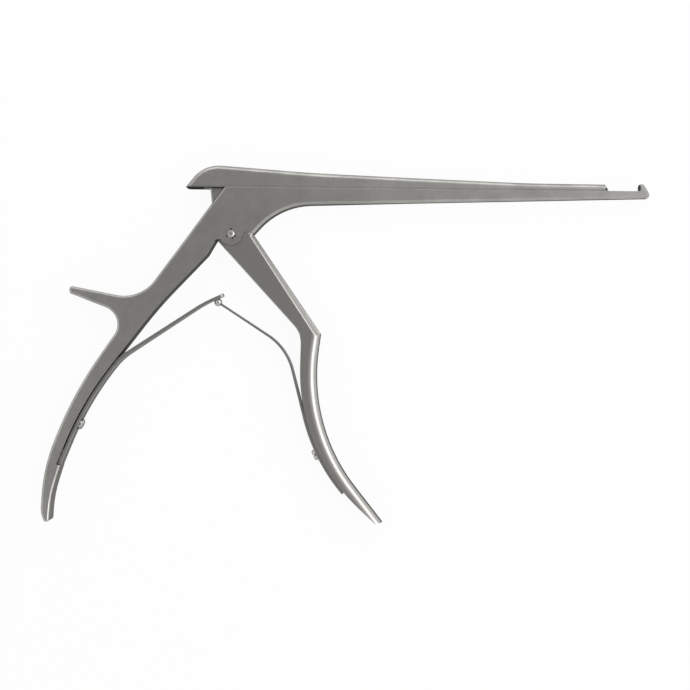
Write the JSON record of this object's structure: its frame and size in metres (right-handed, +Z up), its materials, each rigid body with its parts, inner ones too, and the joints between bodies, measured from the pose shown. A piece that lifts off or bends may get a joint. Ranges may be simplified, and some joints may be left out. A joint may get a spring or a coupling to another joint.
{
  "type": "kerrison rongeur",
  "caption": "Stainless steel kerrison rongeur: long sliding upper shaft that cuts against an upturned footplate, thumb spur, pivoting front lever and twin leaf springs.",
  "frame": {"origin": "on the lever's pivot axis, in the plane of the lower side face that the instrument lies on", "axes": "+X along the shaft towards the cutting tip, +Y square to the shaft and away from the handles, +Z up across the instrument's thickness"},
  "size_m": [0.2798, 0.1649, 0.0104],
  "materials": {
    "satin_steel": "satin, finely brushed along each piece",
    "spring_steel": "satin, a little darker than the forgings",
    "screw_steel": "turned and satin polished"
  },
  "bodies": {
    "frame": {"frame": "satin_steel", "pivot_screw": "screw_steel", "rear_leaf_screw": "screw_steel"},
    "lever": {"front_handle": "satin_steel", "front_leaf_screw": "screw_steel"},
    "slide": {"slide": "satin_steel", "drive_pin": "screw_steel"},
    "rear_leaf": {"rear_leaf_spring": "spring_steel"},
    "front_leaf": {"front_leaf_spring": "spring_steel", "spring_ball": "screw_steel"}
  },
  "joints": [
    {"name": "lever_pivot", "type": "hinge", "parent": "frame", "child": "lever", "pos_m": [0, 0, 0], "axis": [0, 0, -1], "range_deg": [0, 32.5], "stiffness_Nm_per_rad": 1, "springref_deg": -17.19},
    {"name": "slide_travel", "type": "slide", "parent": "frame", "child": "slide", "axis": [1, 0, 0], "range_m": [0, 0.01487]},
    {"name": "rear_leaf_flex", "type": "hinge", "parent": "frame", "child": "rear_leaf", "pos_m": [-0.0511, -0.0612, 0.005], "axis": [0, 0, 1], "range_deg": [0, 12.02], "deforming": ["rear_leaf_spring"]},
    {"name": "front_leaf_flex", "type": "hinge", "parent": "lever", "child": "front_leaf", "pos_m": [0.0318, -0.0765, 0.005], "axis": [0, 0, -1], "range_deg": [0, 8.6], "deforming": ["front_leaf_spring"]}
  ],
  "couplings": [
    {"joint": "slide_travel", "follows": "lever_pivot", "m_per_rad": 0.026206},
    {"joint": "rear_leaf_flex", "follows": "lever_pivot", "ratio": 0.36981},
    {"joint": "front_leaf_flex", "follows": "lever_pivot", "ratio": 0.26434}
  ]
}
